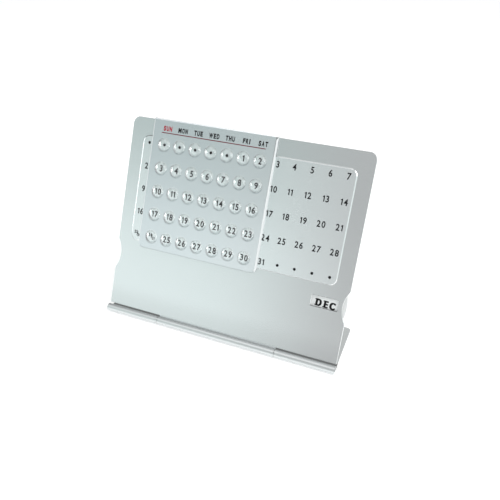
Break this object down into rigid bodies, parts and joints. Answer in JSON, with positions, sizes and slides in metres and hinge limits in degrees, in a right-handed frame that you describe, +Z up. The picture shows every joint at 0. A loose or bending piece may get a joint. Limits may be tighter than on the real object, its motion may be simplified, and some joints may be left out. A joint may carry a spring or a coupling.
{
  "type": "perpetual desk calendar",
  "caption": "Free-standing perpetual desk calendar: a silver panel hinged on a base leaf, a clear weekday slide with a lens over each date, and a month wheel behind a window.",
  "frame": {"origin": "middle of the width and depth of the standing calendar, on the table", "axes": "+X to the reader's right along the width, -Y towards the reader, +Z up"},
  "size_m": [0.106, 0.0408, 0.08],
  "materials": {
    "silver_sheet": "satin",
    "date_silver": "satin, printed",
    "clear_lens": "clear, polished, silver tint printed between the lenses",
    "wheel_white": "matte, printed",
    "steel": "bright plated"
  },
  "bodies": {
    "stand": {"base_leaf": "silver_sheet", "hinge_pin": "steel"},
    "panel": {"front_panel": "silver_sheet", "date_plate": "date_silver", "wheel_stud": "steel", "spring_washer": "steel", "push_nut": "steel"},
    "slide": {"lens_slide": "clear_lens"},
    "wheel": {"month_wheel": "wheel_white"}
  },
  "joints": [
    {"name": "stand_hinge", "type": "hinge", "parent": "stand", "child": "panel", "pos_m": [0, -0.01879, 0.00165], "axis": [1, 0, 0], "range_deg": [-32.5, 115.5]},
    {"name": "weekday_slide", "type": "slide", "parent": "panel", "child": "slide", "axis": [1, 0, 0], "range_m": [-0.0073, 0.0365]},
    {"name": "month_turn", "type": "hinge", "parent": "panel", "child": "wheel", "pos_m": [0.031, -0.00633, 0.02396], "axis": [0, -0.9026, 0.4305], "continuous": true}
  ]
}
